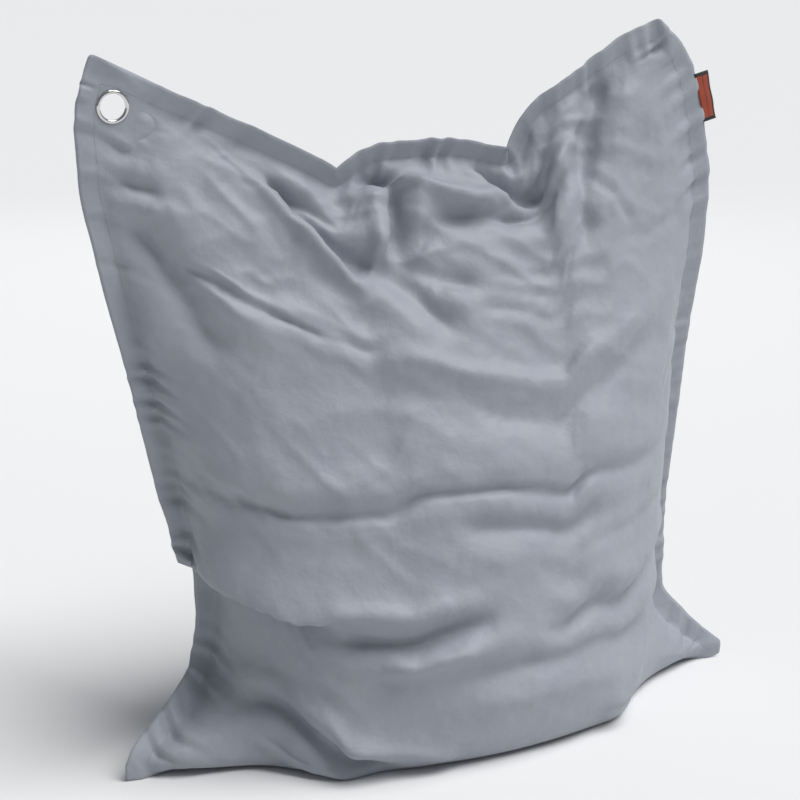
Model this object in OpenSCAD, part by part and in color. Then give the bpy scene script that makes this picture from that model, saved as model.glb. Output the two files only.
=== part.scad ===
// Bean bag chair: a large flat floor cushion stood on its short edge.
// Two cloth panels are sewn face to face with a flat flange all round, filled with beads.
// Front faces -Y, up is +Z, the floor is z = 0. Millimetres.

/* [Bag] */
// Standing height, floor to ear tip
stand_h = 1160; // [960:10:1400]
// Width over the two ears at their widest
ear_span = 1120; // [940:10:1340]
// Width of the bag above the floor
base_w = 820; // [680:10:900]
// Depth of the bag, front to back
base_d = 560; // [460:10:680]
// Distance between the tips of the two feet on the floor
foot_span = 1120; // [980:10:1300]
// How far the top edge hangs between the ears
top_sag = 200; // [60:5:260]
// How far the ears lean to the left of the base
lean = 44; // [0:2:60]
// How high the waist fold sits on the left side
waist_z = 320; // [260:5:380]

/* [Cloth] */
// Thickness of one panel with its coating
cloth_t = 1.5; // [1:0.1:2]
// Width of the flat flange outside the seam
flange_w = 35; // [24:1:45]
// Air between two layers sewn together
layer_gap = 0.4; // [0.3:0.05:0.6]
// Thickness of the seam thread as it lies on the cloth
thread_t = 0.9; // [0.6:0.1:1.2]
// Distance of the thread outside the seam
thread_off = 4; // [3:0.5:8]

/* [Eyelet] */
// Radius of the hole through the eyelet
eyelet_r = 20; // [12:0.5:26]
// Width of the eyelet's rim outside the hole
eyelet_rim = 6; // [5:0.5:8]
// Wall of the eyelet's tube
eyelet_wall = 1.2; // [0.8:0.1:1.6]
// Distance of the rim inside the side seam, less than 0 where it lies over the seam
eyelet_side = -1.9; // [-1.9:0.1:30]
// Distance of the rim below the seam's corner
eyelet_top = 8; // [7:0.5:30]

/* [Label] */
// Length of the label along the edge
label_l = 85; // [50:1:110]
// How far the label stands out from the edge
label_out = 22; // [12:1:30]
// Thickness of the folded label
label_t = 1; // [0.8:0.1:1.4]

/* [Zip] */
// Height of the zip above the floor, across the back
zip_z = 250; // [230:5:280]
// Radius of the zip chain's half, seen along its length
coil_r = 1.3; // [1.1:0.1:1.6]
// Slot between the two halves of the chain
chain_slot = 1.4; // [1.2:0.1:2]
// Width of one tape
tape_w = 14; // [12:1:18]
// Thickness of the tape
tape_t = 0.6; // [0.4:0.1:0.8]
// Length of the slider
slider_l = 13; // [11:0.5:16]
// Clearance of the slider on the chain
slide_gap = 0.4; // [0.3:0.05:0.6]

/* [Fill] */
// Space between the cloth and the block of beads
fill_gap = 5; // [4:0.5:8]

/* [Hidden] */

cols = 32; // cells across one panel
rows = 36; // cells up one panel
c0 = cloth_t + layer_gap / 2; // outer face of a flange, from the plane between the panels
turn = 0.5; // radius of the fold where the flange is turned under the base
depth = base_d / 2 - c0;
ear_x = ear_span / 2 - flange_w;
foot_x = foot_span / 2 - flange_w;
waist_x = base_w / 2;
ear_z = stand_h - 1.6 * flange_w;
top_z = stand_h - top_sag - flange_w;

// half widths from the middle to each side seam, bottom corner to top corner
left_foot = foot_x - lean / 2;
left_waist = waist_x - lean / 2;
left_ear = ear_x + lean / 2;
right_foot = foot_x + lean / 2;
right_waist = waist_x + lean / 2;
right_ear = ear_x - lean / 2;
left_line = [[0, left_foot], [0.05, left_foot - 12], [0.12, 0.35 * left_foot + 0.65 * left_waist],
             [0.17, left_waist + 4], [0.235, left_waist - 14], [0.3, left_waist + 10],
             [0.36, left_waist + 34], [0.62, 0.42 * left_waist + 0.58 * left_ear],
             [0.84, left_ear - 4], [0.92, left_ear], [1, left_ear - 14]];
right_line = [[0, right_foot], [0.05, right_foot - 20], [0.12, 0.4 * right_foot + 0.6 * right_waist],
              [0.18, right_waist], [0.33, right_waist + 4], [0.6, 0.5 * right_waist + 0.5 * right_ear],
              [0.8, right_ear - 2], [0.87, right_ear - 18], [0.94, right_ear - 50],
              [1, right_ear - 85]];
// heights of the side seams
side_line = [[0, flange_w], [0.05, 0.05 * stand_h], [0.12, 0.085 * stand_h],
             [0.17, 0.4 * waist_z], [0.235, waist_z - 100], [0.3, waist_z - 15],
             [0.36, waist_z + 40], [0.62, 0.59 * waist_z + 0.41 * stand_h],
             [0.84, 0.25 * waist_z + 0.74 * stand_h], [0.93, 0.92 * stand_h], [1, ear_z]];
// the middle of a panel: how far it stands out, and how high
out_line = [[0, 0], [0.19, 0.86], [0.235, 0.97], [0.28, 1], [0.36, 1], [0.45, 0.9],
            [0.6, 0.73], [0.75, 0.5], [0.88, 0.26], [1, 0]];
up_line = [[0, 0], [0.19, 0], [0.235, 0.035], [0.3, 0.125], [0.46, 0.365],
           [0.6, 0.555], [0.75, 0.76], [0.88, 0.91], [1, 1]];
// the top edge: 1 at the ear tips, 0 where it hangs lowest
sag_line = [[-1, 1], [-0.83, 0.76], [-0.72, 0.62], [-0.55, 0.36], [-0.37, 0.11],
            [-0.32, 0], [-0.28, 0.06], [-0.22, 0.16], [-0.09, 0.18], [0.05, 0.18],
            [0.18, 0.13], [0.25, 0.06], [0.34, 0.08], [0.39, 0.35], [0.42, 0.46],
            [0.56, 0.61], [0.74, 0.79], [0.9, 0.95], [1, 1]];
// how round the cross-section is: 0.5 is an ellipse, 1 is a lens
round_line = [[0, 0.6], [0.45, 0.58], [0.75, 0.72], [1, 0.9]];

function ease(x) = x <= 0 ? 0 : x >= 1 ? 1 : x * x * (3 - 2 * x);
function mix(a, b, m) = a * (1 - m) + b * m;
// a table carried on past its ends, then smoothed
function on(t, v, a, b) = v < a ? 2 * lookup(a, t) - lookup(2 * a - v, t)
                        : v > b ? 2 * lookup(b, t) - lookup(2 * b - v, t) : lookup(v, t);
function soft(t, v, a = 0, d = 0.012) =
    (on(t, v - 2 * d, a, 1) + 2 * on(t, v - d, a, 1) + 3 * on(t, v, a, 1)
     + 2 * on(t, v + d, a, 1) + on(t, v + 2 * d, a, 1)) / 9;

function half_w(s, v) = s < 0 ? soft(left_line, v) : soft(right_line, v);
function flat_part(s) = ease((abs(s) - 0.6) / 0.4); // 0 on the floor, 1 at the side seams
function rise(s, v) =
    mix(flat_part(s), soft(sag_line, s, -1, 0.02), ease((v - 0.2) / 0.5));
function px(s, v) = s * mix(half_w(-1, v), half_w(1, v), ease((s + 1) / 2));
function pz(s, v) = mix(top_z * soft(up_line, v), soft(side_line, v), rise(s, v));
// where the panels lie flat on each other round the eyelet
eyelet_z = ear_z - eyelet_top - eyelet_r - eyelet_rim;
eyelet_v = lookup(eyelet_z, [for (p = side_line) [p[1], p[0]]]);
eyelet_x = -soft(left_line, eyelet_v) + eyelet_side + eyelet_r + eyelet_rim;
function clear_of_eyelet(x, z) =
    ease((norm([x - eyelet_x, z - eyelet_z]) - eyelet_r - 44) / 70);
// where the back carries the zip, it follows a cylinder about an upright axis
zip_r = 0.6 * base_w; // outer face of the cloth there
zip_cy = base_d / 2 - zip_r;
zip_half = asin(0.72 * base_w / 2 / zip_r);
function on_zip(s, z) =
    (1 - ease((abs(s) - 0.8) / 0.14)) * (1 - ease((abs(z - zip_z) - 46) / 50));
function bulge(s, v) = depth * soft(out_line, v) * pow(max(0, 1 - s * s), soft(round_line, v));
function py(s, v, x, z) = bulge(s, v) * clear_of_eyelet(x, z);
function front_pt(s, v) =
    let (x = px(s, v), z = pz(s, v))
    [x, -c0 - py(s, v, x, z), z];
function back_pt(s, v) =
    let (x = px(s, v), z = pz(s, v), y0 = c0 + py(s, v, x, z),
         y = mix(y0, zip_cy + sqrt(max(1, zip_r * zip_r - x * x)), v > 0.1 ? on_zip(s, z) : 0),
         under = v > 0.2 ? 0 : (2 * c0 + 2 * turn) * sin(fold(s)))
    [x, y, z + under * (1 - ease((y - c0 - flange_w - 3) / 25))];

// the flange outside the seam: square to the side and top seams, laid back under the base
function unit(p) = p / norm(p);
function side_out(k, v) =
    let (e = 0.01, x1 = half_w(k, v + e), x0 = half_w(k, v - e),
         z1 = soft(side_line, v + e), z0 = soft(side_line, v - e))
    unit([k * (z1 - z0), 0, -(x1 - x0)]);
function top_out(s) =
    let (e = 0.01, a = s > 1 - e ? 1 - e : s, b = a < e - 1 ? e - 1 : a,
         x1 = px(b + e, 1), x0 = px(b - e, 1), z1 = pz(b + e, 1), z0 = pz(b - e, 1))
    unit([-(z1 - z0), 0, x1 - x0]);
function fold(s) = acos(min(1, flat_part(s))); // 90 laid flat, 0 upright
function under_out(s) = [0, sin(fold(s)), -cos(fold(s))];
function under_seam(s, k) =
    let (a = fold(s))
    [px(s, 0), -k * c0 * cos(a), flange_w * cos(a) + c0 * sin(a) - k * c0 * sin(a)];

// one grid for both panels: k is 1 on the front panel and -1 on the back one
function col_s(i) = sin(90 * (2 * min(max(i - 1, 0), cols) / cols - 1));
function row_v(j) = min(max(j - 3, 0), rows) / rows;
function edge(i) = i == 0 ? -1 : i == cols + 2 ? 1 : 0;
function body_pt(s, v, k) = k > 0 ? front_pt(s, v) : back_pt(s, v);
function grid_pt(i, j, k) =
    let (s = col_s(i), v = row_v(j), h = edge(i),
         out = h == 0 ? [0, 0, 0] : flange_w * side_out(h, v))
    j == 0 ? under_seam(s, k) + flange_w * under_out(s) + out
    : j == 1 ? under_seam(s, k) + 2 * under_out(s) + out
    : j == 2 ? under_seam(s, k) + (k > 0 ? 0 : turn * sin(fold(s))) * [0, -1, 1] + out
    : j == 3 ? (k > 0 ? under_seam(s, k) + 2 * [0, -1, 0] * sin(fold(s)) + 2 * [0, 0, 1] * cos(fold(s))
                : under_seam(s, k) + sin(fold(s)) * [0, 2, 2 * turn] + 2 * cos(fold(s)) * [0, 0, 1]) + out
    : j == rows + 4 ? body_pt(s, 1, k) + flange_w * top_out(s) + out
    : body_pt(s, v, k) + out;

last_i = cols + 2;
last_j = rows + 4;
function across(i, j, k) = grid_pt(min(i + 1, last_i), j, k) - grid_pt(max(i - 1, 0), j, k);
function along(i, j, k) = grid_pt(i, min(j + 1, last_j), k) - grid_pt(i, max(j - 1, 0), k);
function inward(i, j, k) = k * unit(cross(along(i, j, k), across(i, j, k)));
wide = last_i + 1;
tall = last_j + 1;
function cells(n, m, at, w, flip) =
    [for (j = [0:m - 1]) for (i = [0:n - 1])
        let (a = at + j * w + i, b = a + 1, c = a + w + 1, d = a + w)
        each flip ? [[a, b, c], [a, c, d]] : [[c, b, a], [d, c, a]]];

module sheet_solid(k) {
    outer = [for (j = [0:last_j]) for (i = [0:last_i]) grid_pt(i, j, k)];
    inner = [for (j = [0:last_j]) for (i = [0:last_i])
        grid_pt(i, j, k) + cloth_t * inward(i, j, k)];
    n = wide * tall;
    ring = concat([for (i = [0:last_i]) i],
                  [for (j = [1:last_j]) j * wide + last_i],
                  [for (i = [1:last_i]) last_j * wide + last_i - i],
                  [for (j = [1:last_j - 1]) (last_j - j) * wide]);
    rim = [for (q = [0:len(ring) - 1])
        let (a = ring[q], b = ring[(q + 1) % len(ring)])
        each k > 0 ? [[b + n, a + n, a], [b, b + n, a]] : [[a, a + n, b + n], [a, b + n, b]]];
    polyhedron(points = concat(outer, inner), convexity = 10,
               faces = concat(cells(last_i, last_j, 0, wide, k < 0),
                              cells(last_i, last_j, n, wide, k > 0), rim));
}

module eyelet_hole() {
    translate([eyelet_x, 30, eyelet_z]) rotate([90, 0, 0])
        cylinder(r = eyelet_r + eyelet_wall + 0.4, h = 60, $fn = 96);
}

module front_panel() {
    color([0.61, 0.63, 0.68]) difference() {
        sheet_solid(1);
        eyelet_hole();
    }
}

// opening for the zip: the slider runs between its edges
slit_h = 9;
module back_panel() {
    color([0.58, 0.60, 0.65]) difference() {
        sheet_solid(-1);
        eyelet_hole();
        translate([0, 0, zip_z - slit_h]) sector(zip_r - 12, zip_r + 12, 2 * slit_h, zip_half);
    }
}

// the beads, held a little inside the cloth
fill_cols = 24;
fill_rows = 26;
// how near to the side seams the block comes: less in the left ear, where the eyelet is
fill_left = [[0, 0.96], [0.5, 0.98], [0.75, 0.93], [0.88, 0.74], [1, 0.58]];
fill_right = [[0, 0.96], [0.5, 0.98], [0.8, 0.92], [1, 0.8]];
function fill_at(i, j, k) =
    let (v = mix(0.036, 0.945, j / fill_rows), u = sin(90 * (2 * i / fill_cols - 1)),
         s = u * mix(lookup(v, fill_left), lookup(v, fill_right), ease((u + 1) / 2)),
         e = 0.004, p = body_pt(s, v, k),
         du = body_pt(s + e, v, k) - body_pt(s - e, v, k),
         dv = body_pt(s, v + e, k) - body_pt(s, v - e, k),
         deep = cloth_t + fill_gap * mix(1, 3, ease((v - 0.6) / 0.3))
                + (k < 0 ? 6 * on_zip(s, p[2]) : 0))
    p - k * unit(cross(du, dv)) * deep;
module bead_fill() {
    w = fill_cols + 1;
    n = w * (fill_rows + 1);
    pts = concat([for (j = [0:fill_rows]) for (i = [0:fill_cols]) fill_at(i, j, 1)],
                 [for (j = [0:fill_rows]) for (i = [0:fill_cols]) fill_at(i, j, -1)]);
    ring = concat([for (i = [0:fill_cols]) i],
                  [for (j = [1:fill_rows]) j * w + fill_cols],
                  [for (i = [1:fill_cols]) fill_rows * w + fill_cols - i],
                  [for (j = [1:fill_rows - 1]) (fill_rows - j) * w]);
    rim = [for (q = [0:len(ring) - 1])
        let (a = ring[q], b = ring[(q + 1) % len(ring)])
        each [[b + n, a + n, a], [b, b + n, a]]];
    color([0.95, 0.95, 0.93])
        polyhedron(points = pts, convexity = 10,
                   faces = concat(cells(fill_cols, fill_rows, 0, w, false),
                                  cells(fill_cols, fill_rows, n, w, true), rim));
}

// a ring's quarter profile turned about the eyelet's own axis, front towards -Y
face_y = c0 + 0.3; // rim and washer lie this far from the plane between the panels
curl_y = face_y + 1.3; // the rolled end of the tube lies on the washer
rim_t = 1.6;
module turned() {
    translate([eyelet_x, 0, eyelet_z]) rotate([90, 0, 0]) rotate_extrude($fn = 96) children();
}
module eyelet_barrel() {
    color([0.80, 0.81, 0.83]) turned() {
        translate([eyelet_r, -curl_y - 0.6]) square([eyelet_wall, curl_y + face_y + 1.2]);
        translate([eyelet_r + 0.8, face_y]) square([eyelet_rim - 1.6, rim_t]);
        translate([eyelet_r + 0.8, face_y + rim_t / 2]) circle(r = rim_t / 2, $fn = 32);
        translate([eyelet_r + eyelet_rim - 0.8, face_y + rim_t / 2]) circle(r = rim_t / 2, $fn = 32);
        translate([eyelet_r + 0.8, -curl_y - 1.2]) square([eyelet_rim - 4, 1.2]);
        translate([eyelet_r + 0.8, -curl_y - 0.6]) circle(r = 0.6, $fn = 32);
        translate([eyelet_r + eyelet_rim - 3.2, -curl_y - 0.6]) circle(r = 0.6, $fn = 32);
    }
}
module eyelet_washer() {
    color([0.76, 0.77, 0.79]) turned()
        translate([eyelet_r + eyelet_wall + 0.3, -face_y - 1])
            square([eyelet_rim - eyelet_wall - 0.6, 1]);
}

// label folded in half and caught in the edge of the right flange
label_v = 0.885;
module woven_label() {
    d = side_out(1, label_v);
    p = body_pt(1, label_v, 1) + flange_w * d;
    color([0.85, 0.28, 0.12])
        translate([p[0], 0, p[2]]) rotate([0, atan2(-d[2], d[0]), 0])
            translate([-8, -label_t / 2, -label_l / 2]) cube([label_out + 8, label_t, label_l]);
}

// thread on each face of the flange, along both sides and the top
function thread_path(k) = concat(
    [for (j = [1:rows - 1]) body_pt(-1, j / rows, k) + thread_off * side_out(-1, j / rows)],
    [body_pt(-1, 1, k) + thread_off * (side_out(-1, 1) + top_out(-1))],
    [for (i = [2:cols]) body_pt(col_s(i), 1, k) + thread_off * top_out(col_s(i))],
    [body_pt(1, 1, k) + thread_off * (side_out(1, 1) + top_out(1))],
    [for (j = [1:rows - 1]) body_pt(1, 1 - j / rows, k) + thread_off * side_out(1, 1 - j / rows)]);
module thread(k) {
    path = thread_path(k);
    n = len(path);
    pts = [for (q = [0:n - 1])
        let (t = unit(path[min(q + 1, n - 1)] - path[max(q - 1, 0)]),
             o = [-t[2], 0, t[0]] * thread_t / 2,
             a = [path[q][0], -k * (c0 + 0.3), path[q][2]],
             b = a - [0, k * thread_t, 0])
        each [a - o, a + o, b + o, b - o]];
    ends = k > 0 ? [[0, 1, 2], [0, 2, 3], [4 * n - 2, 4 * n - 3, 4 * n - 4], [4 * n - 1, 4 * n - 2, 4 * n - 4]]
                 : [[2, 1, 0], [3, 2, 0], [4 * n - 4, 4 * n - 3, 4 * n - 2], [4 * n - 4, 4 * n - 2, 4 * n - 1]];
    faces = [for (q = [0:n - 2]) for (m = [0:3])
        let (a = 4 * q + m, b = 4 * q + (m + 1) % 4, c = b + 4, d = a + 4)
        each k > 0 ? [[a, d, c], [a, c, b]] : [[c, d, a], [b, c, a]]];
    polyhedron(points = pts, faces = concat(faces, ends), convexity = 10);
}
module seam_thread_front() {
    color([0.52, 0.54, 0.60]) thread(1);
}
module seam_thread_back() {
    color([0.52, 0.54, 0.60]) thread(-1);
}

// curved blocks about the zip's axis: radii, height and half angle, centred on +Y
module sector(r0, r1, h, half) {
    translate([0, zip_cy, 0]) rotate([0, 0, 90 - half])
        rotate_extrude(angle = 2 * half, $fn = 180) translate([r0, 0]) square([r1 - r0, h]);
}
tape_r1 = zip_r - cloth_t - 0.7;
tape_r0 = tape_r1 - tape_t;
chain_r = tape_r1 + 0.3 + coil_r; // the coils stand on the tapes, in the slit
chain_z = chain_slot / 2 + coil_r;
tape_half = zip_half + 1.6;
coil_half = zip_half - 0.5;
module tape(k) {
    color([0.35, 0.37, 0.41])
        translate([0, 0, k > 0 ? zip_z + chain_slot / 2 : zip_z - chain_slot / 2 - tape_w])
            sector(tape_r0, tape_r1, tape_w, tape_half);
}
module coil(k) {
    color([0.30, 0.32, 0.36]) translate([0, zip_cy, zip_z + k * chain_z])
        rotate([0, 0, 90 - coil_half]) rotate_extrude(angle = 2 * coil_half, $fn = 180)
            translate([chain_r, 0]) circle(r = coil_r, $fn = 24);
}
module zip_tape_upper() {
    tape(1);
}
module zip_tape_lower() {
    tape(-1);
}
module zip_coil_upper() {
    coil(1);
}
module zip_coil_lower() {
    coil(-1);
}

// slider: a plate outside the chain, one inside the tapes, and a web through the slot
slider_a = slider_l / 2 / zip_r * 180 / PI;
slider_h = 2 * (chain_z + coil_r + slide_gap + 1);
stop_a = 2.5 / zip_r * 180 / PI;
rest_a = coil_half - 2 * stop_a - slider_a - 0.6; // closed: hard by the stop on the left, seen from the front
plate_r0 = chain_r + coil_r + slide_gap;
module zip_slider() {
    color([0.70, 0.71, 0.73]) at_rest() {
        translate([0, 0, zip_z - slider_h / 2]) sector(plate_r0, plate_r0 + 1.1, slider_h, slider_a);
        translate([0, 0, zip_z - slider_h / 2])
            sector(tape_r1 + slide_gap, plate_r0 + 0.1, 1, slider_a);
        translate([0, 0, zip_z + slider_h / 2 - 1])
            sector(tape_r1 + slide_gap, plate_r0 + 0.1, 1, slider_a);
        translate([0, 0, zip_z - slider_h / 2])
            sector(tape_r0 - slide_gap - 1, tape_r0 - slide_gap, slider_h, slider_a);
        translate([0, 0, zip_z - chain_slot / 2 + slide_gap])
            sector(tape_r0 - slide_gap - 0.1, plate_r0 + 0.1, chain_slot - 2 * slide_gap, slider_a / 2);
    }
}
// the low bridge that a pull would hang on
bridge_r0 = plate_r0 + 1.1;
module zip_slider_bridge() {
    color([0.66, 0.67, 0.69]) at_rest()
        translate([0, 0, zip_z - 1.2]) difference() {
            sector(bridge_r0 - 0.2, bridge_r0 + 2.4, 2.4, slider_a * 0.62);
            translate([0, 0, -1]) sector(bridge_r0 + 0.2, bridge_r0 + 1.4, 4.4, slider_a * 0.4);
        }
}
module at_rest() {
    translate([0, zip_cy, 0]) rotate([0, 0, rest_a]) translate([0, -zip_cy, 0]) children();
}
// stops crimped round both coils at the ends of the chain
module stop_at(k) {
    low = tape_r1 + 0.3;
    high = chain_r + coil_r + 0.3;
    half = chain_z + coil_r + 0.3;
    color([0.70, 0.71, 0.73])
        translate([0, zip_cy, 0]) rotate([0, 0, k * (coil_half - stop_a)]) translate([0, -zip_cy, 0]) {
            translate([0, 0, zip_z - half - 0.8]) sector(high, high + 0.8, 2 * half + 1.6, stop_a);
            translate([0, 0, zip_z - half - 0.8]) sector(low, high + 0.1, 0.8, stop_a);
            translate([0, 0, zip_z + half]) sector(low, high + 0.1, 0.8, stop_a);
        }
}
module zip_stop_left() {
    stop_at(1);
}
module zip_stop_right() {
    stop_at(-1);
}

front_panel();
back_panel();
bead_fill();
eyelet_barrel();
eyelet_washer();
woven_label();
seam_thread_front();
seam_thread_back();
zip_tape_upper();
zip_tape_lower();
zip_coil_upper();
zip_coil_lower();
zip_slider();
zip_slider_bridge();
zip_stop_left();
zip_stop_right();
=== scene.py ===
import math

import bmesh
import bpy
import numpy as np
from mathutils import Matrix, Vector
from mathutils.bvhtree import BVHTree


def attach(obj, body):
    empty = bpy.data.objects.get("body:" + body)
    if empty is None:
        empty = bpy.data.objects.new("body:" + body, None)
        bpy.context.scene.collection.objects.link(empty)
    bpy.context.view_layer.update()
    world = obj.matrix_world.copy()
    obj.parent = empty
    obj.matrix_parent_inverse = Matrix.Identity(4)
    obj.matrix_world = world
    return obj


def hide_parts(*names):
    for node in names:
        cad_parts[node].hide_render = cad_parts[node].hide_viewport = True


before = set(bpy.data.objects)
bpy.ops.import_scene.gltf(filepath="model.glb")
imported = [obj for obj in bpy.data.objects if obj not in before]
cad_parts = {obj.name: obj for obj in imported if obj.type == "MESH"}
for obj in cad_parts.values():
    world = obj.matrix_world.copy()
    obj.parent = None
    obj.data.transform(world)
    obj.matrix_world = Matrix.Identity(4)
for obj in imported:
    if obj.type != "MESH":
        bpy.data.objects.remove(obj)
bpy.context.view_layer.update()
print("frame loaded", len(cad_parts), "nodes")

# the standing bag, in metres: left and right are as seen from the front
bag = {
    "tall": 1.16,
    "earSpan": 1.12,
    "baseWide": 0.82,
    "baseDeep": 0.56,
    "footSpan": 1.12,
    "topSag": 0.20,
    "lean": 0.044,
    "waist": 0.32,
    "rightTip": 0.018,  # the right ear stands this much higher than the left
    # the left and the right foot: how far forward of the seam's plane, further out, and pressed down
    "footForward": (0.085, 0.02),
    "footOut": (0.030, 0.010),
    "footFlat": (0.30, 0.45),
    "edgeFlat": 0.75,  # the edge between the feet and the base is pressed on the floor
}
cover = {
    "wide": 1.15,  # the cut panel, flat
    "tall": 1.40,
    "flange": 0.035,
    "cloth": 0.0007,
    "cols": 90,  # cells from seam to seam
    "rows": 122,
    "rim": 3,  # cells across the flange
    # the drape: frames, how much longer the cloth is than its seam, how firmly the beads hold it
    "frames": 28,
    "gather": 0.004,
    "hold": 0.62,
    "weight": 0.05,
    "bend": 0.12,
    "colour": "#9A9EA7",
    "shade": "#969AA4",
    "light": "#9EA2AA",
}
eyelet = {"x": -0.520, "z": 1.070, "cut": 0.0232}  # cut: radius of the hole in the cloth
label = {"long": 0.085, "v": 0.885, "thick": 0.0004}  # v: its height, as a share of the panel
# the zip lies on an upright cylinder; half: half its angle in degrees, slit: half the height of the opening
zipper = {"z": 0.25, "radius": 0.492, "centreY": -0.212, "half": 36.87, "slit": 0.009, "slitEnd": 0.288}
sewing = {"pitch": 0.0045, "length": 0.0034, "thick": 0.0007, "outside": 0.004}

spread = cover["wide"] / 2 - cover["flange"]  # half a panel, seam to seam
rise = cover["tall"] - 2 * cover["flange"]


def linear(hexColour):
    c = [int(hexColour[i : i + 2], 16) / 255 for i in (1, 3, 5)]
    return tuple(x / 12.92 if x <= 0.04045 else ((x + 0.055) / 1.055) ** 2.4 for x in c) + (1.0,)


# the form of the standing bag
flange = cover["flange"]
earX = bag["earSpan"] / 2 - flange
footX = bag["footSpan"] / 2 - flange
waistX = bag["baseWide"] / 2
earZ = bag["tall"] - 1.6 * flange
topZ = bag["tall"] - bag["topSag"] - flange
waistZ = bag["waist"]
halfLean = bag["lean"] / 2
leftFoot, leftWaist, leftEar = footX - halfLean, waistX - halfLean, earX + halfLean
rightFoot, rightWaist, rightEar = footX + halfLean, waistX + halfLean, earX - halfLean
# each line runs from the bottom corner (0) to the top one (1)
leftLine = [
    (0, leftFoot), (0.05, leftFoot - 0.012), (0.12, 0.35 * leftFoot + 0.65 * leftWaist),
    (0.17, leftWaist + 0.004), (0.235, leftWaist - 0.014), (0.3, leftWaist - 0.008),
    (0.36, leftWaist + 0.014), (0.42, leftWaist + 0.042), (0.62, 0.42 * leftWaist + 0.58 * leftEar),
    (0.84, leftEar - 0.004), (0.92, leftEar), (1, leftEar - 0.014),
]
rightLine = [
    (0, rightFoot), (0.05, rightFoot - 0.02), (0.12, 0.4 * rightFoot + 0.6 * rightWaist),
    (0.18, rightWaist), (0.33, rightWaist + 0.004), (0.6, 0.44 * rightWaist + 0.56 * rightEar),
    (0.7, 0.2 * rightWaist + 0.8 * rightEar + 0.004),
    (0.8, rightEar - 0.002), (0.87, rightEar - 0.018), (0.94, rightEar - 0.05), (1, rightEar - 0.085),
]
sideLine = [
    (0, flange), (0.05, 0.058), (0.12, 0.0986), (0.17, 0.4 * waistZ), (0.235, waistZ - 0.1),
    (0.3, waistZ - 0.015), (0.36, waistZ + 0.04), (0.62, 0.59 * waistZ + 0.41 * bag["tall"]),
    (0.84, 0.25 * waistZ + 0.74 * bag["tall"]), (0.93, 0.92 * bag["tall"]), (1, earZ),
]
outLine = [(0, 0), (0.19, 0.86), (0.235, 0.97), (0.28, 1), (0.36, 1), (0.45, 0.9), (0.6, 0.73),
           (0.75, 0.5), (0.88, 0.26), (1, 0)]
upLine = [(0, 0), (0.19, 0), (0.235, 0.035), (0.3, 0.125), (0.46, 0.365), (0.6, 0.555),
          (0.75, 0.76), (0.88, 0.91), (1, 1)]
sagLine = [(-1, 1), (-0.83, 0.74), (-0.72, 0.59), (-0.55, 0.33), (-0.37, 0.05), (-0.32, -0.08),
           (-0.28, 0.02), (-0.22, 0.16), (-0.09, 0.18), (0.05, 0.18), (0.18, 0.13), (0.25, 0.06),
           (0.36, 0.03), (0.405, 0.30), (0.44, 0.46), (0.56, 0.61), (0.74, 0.79), (0.9, 0.95), (1, 1)]
roundLine = [(0, 0.6), (0.45, 0.58), (0.75, 0.72), (1, 0.9)]


def ease(x):
    x = np.clip(x, 0, 1)
    return x * x * (3 - 2 * x)


def mix(a, b, m):
    return a * (1 - m) + b * m


def soft(line, v, low=0.0, d=0.012):
    keys = [k for k, w in line]
    vals = [w for k, w in line]

    def on(t):
        m = np.interp(t, keys, vals)
        m = np.where(t < low, 2 * vals[0] - np.interp(2 * low - t, keys, vals), m)
        return np.where(t > 1, 2 * vals[-1] - np.interp(2 - t, keys, vals), m)

    return (on(v - 2 * d) + 2 * on(v - d) + 3 * on(v) + 2 * on(v + d) + on(v + 2 * d)) / 9


def formPoint(s, v, side):
    wide = mix(soft(leftLine, v), soft(rightLine, v), ease((s + 1) / 2))
    x = s * wide
    up = mix(ease((np.abs(s) - 0.6) / 0.4), soft(sagLine, s, -1, 0.02), ease((v - 0.2) / 0.5))
    z = mix(topZ * soft(upLine, v), soft(sideLine, v), up)
    z = z + bag["rightTip"] * ease((s - 0.45) / 0.55) * ease((v - 0.7) / 0.3)
    y = bag["baseDeep"] / 2 * soft(outLine, v) * np.power(np.clip(1 - s * s, 0, 1), soft(roundLine, v))
    near = np.hypot(x - eyelet["x"], z - eyelet["z"])
    y = y * ease((near - 0.05) / 0.08)  # the ear is pressed flat round the eyelet
    return x, side * y, z


def formRows(side):
    # even along each row, so that the cloth isn't stretched sideways
    n, m = cover["cols"], cover["rows"]
    rows = np.zeros((m + 1, n + 1, 3))
    share = np.zeros((m + 1, n + 1))
    fine = np.sin(np.linspace(-np.pi / 2, np.pi / 2, 600))
    for j in range(m + 1):
        v = np.full_like(fine, j / m)
        p = np.stack(formPoint(fine, v, side), 1)
        run = np.r_[0, np.cumsum(np.linalg.norm(np.diff(p, axis=0), axis=1))]
        s = np.interp(np.linspace(0, run[-1], n + 1), run, fine)
        rows[j] = np.stack(formPoint(s, np.full_like(s, j / m), side), 1)
        share[j] = s
    return rows, share


def normalsOf(rows):
    across = np.gradient(rows, axis=1)
    along = np.gradient(rows, axis=0)
    n = np.cross(across, along)
    return n / np.maximum(np.linalg.norm(n, axis=2, keepdims=True), 1e-9)


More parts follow.
